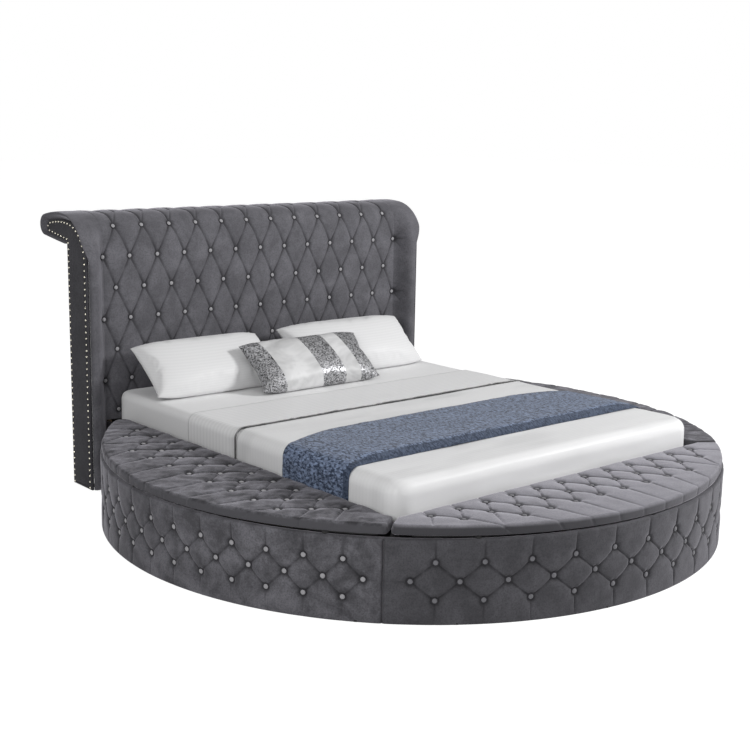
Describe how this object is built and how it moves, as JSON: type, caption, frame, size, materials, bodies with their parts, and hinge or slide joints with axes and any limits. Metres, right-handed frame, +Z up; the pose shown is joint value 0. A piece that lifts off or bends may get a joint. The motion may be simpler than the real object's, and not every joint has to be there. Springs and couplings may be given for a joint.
{
  "type": "round bed",
  "caption": "Round upholstered bed with tufted storage benches on three sides, hinged lids, a winged and rolled headboard, mattress and bedding.",
  "frame": {"origin": "on the floor at the centre of the round base, under the middle support leg", "axes": "+Z up, +Y towards the headboard, -Y towards the foot, +X to the right seen from the foot"},
  "size_m": [2.916, 3.0537, 1.376],
  "materials": {
    "velvet": "grey velvet with a soft sheen",
    "silver_buttons": "buttons covered in pale silver satin",
    "velvet_buttons": "buttons covered in the grey velvet",
    "plywood": "birch plywood, sanded",
    "timber": "plain pine, planed",
    "lining": "dark woven backing cloth",
    "nickel_nails": "polished nickel nailheads",
    "hinge_steel": "zinc-plated steel",
    "felt": "black felt pads",
    "glides": "black moulded glides",
    "mattress_ticking": "white knitted ticking",
    "white_bedding": "white cotton sateen",
    "blue_throw": "slate blue woven throw",
    "cushion_cloth": "white satin with silver sequin bands"
  },
  "bodies": {
    "root": {"left_cover": "velvet", "left_front_wall": "plywood", "left_inner_wall": "plywood", "left_floor_panel": "plywood", "foot_cover": "velvet", "foot_front_wall": "plywood", "foot_inner_wall": "plywood", "foot_floor_panel": "plywood", "right_cover": "velvet", "right_front_wall": "plywood", "right_inner_wall": "plywood", "right_floor_panel": "plywood", "left_end_board": "plywood", "right_end_board": "plywood", "foot_left_end_board": "plywood", "foot_right_end_board": "plywood", "left_dividers": "plywood", "right_dividers": "plywood", "foot_divider": "plywood", "headboard_back_panel": "lining", "left_side_panel": "velvet", "right_side_panel": "velvet", "base_buttons": "silver_buttons", "headboard_posts": "timber", "headboard_rails": "timber", "slats": "timber", "centre_beam": "timber", "centre_legs": "timber", "side_cleats": "timber", "headboard_pad": "velvet", "headboard_roll": "velvet", "left_wing": "velvet", "right_wing": "velvet", "headboard_buttons": "velvet_buttons", "nailheads": "nickel_nails", "joint_bolts": "hinge_steel", "headboard_brackets": "hinge_steel", "hinge_fixed_leaves": "hinge_steel", "hinge_pins": "hinge_steel", "lid_bumpers": "felt", "floor_glides": "glides", "mattress": "mattress_ticking", "coverlet": "white_bedding", "duvet": "white_bedding", "throw": "blue_throw", "left_pillow": "white_bedding", "right_pillow": "white_bedding", "accent_cushion": "cushion_cloth"},
    "left_lid": {"left_lid_board": "plywood", "left_lid_pad": "velvet", "left_lid_buttons": "silver_buttons", "left_lid_hinge_leaves": "hinge_steel"},
    "foot_lid": {"foot_lid_board": "plywood", "foot_lid_pad": "velvet", "foot_lid_buttons": "velvet_buttons", "foot_lid_hinge_leaves": "hinge_steel"},
    "right_lid": {"right_lid_board": "plywood", "right_lid_pad": "velvet", "right_lid_buttons": "silver_buttons", "right_lid_hinge_leaves": "hinge_steel"}
  },
  "joints": [
    {"name": "left_lid_hinge", "type": "hinge", "parent": "root", "child": "left_lid", "pos_m": [-0.942, 0, 0.372], "axis": [0, 1, 0], "range_deg": [0, 65]},
    {"name": "right_lid_hinge", "type": "hinge", "parent": "root", "child": "right_lid", "pos_m": [0.942, 0, 0.372], "axis": [0, -1, 0], "range_deg": [0, 65]},
    {"name": "foot_lid_hinge", "type": "hinge", "parent": "root", "child": "foot_lid", "pos_m": [0, -0.958, 0.372], "axis": [-1, 0, 0], "range_deg": [0, 65]}
  ]
}
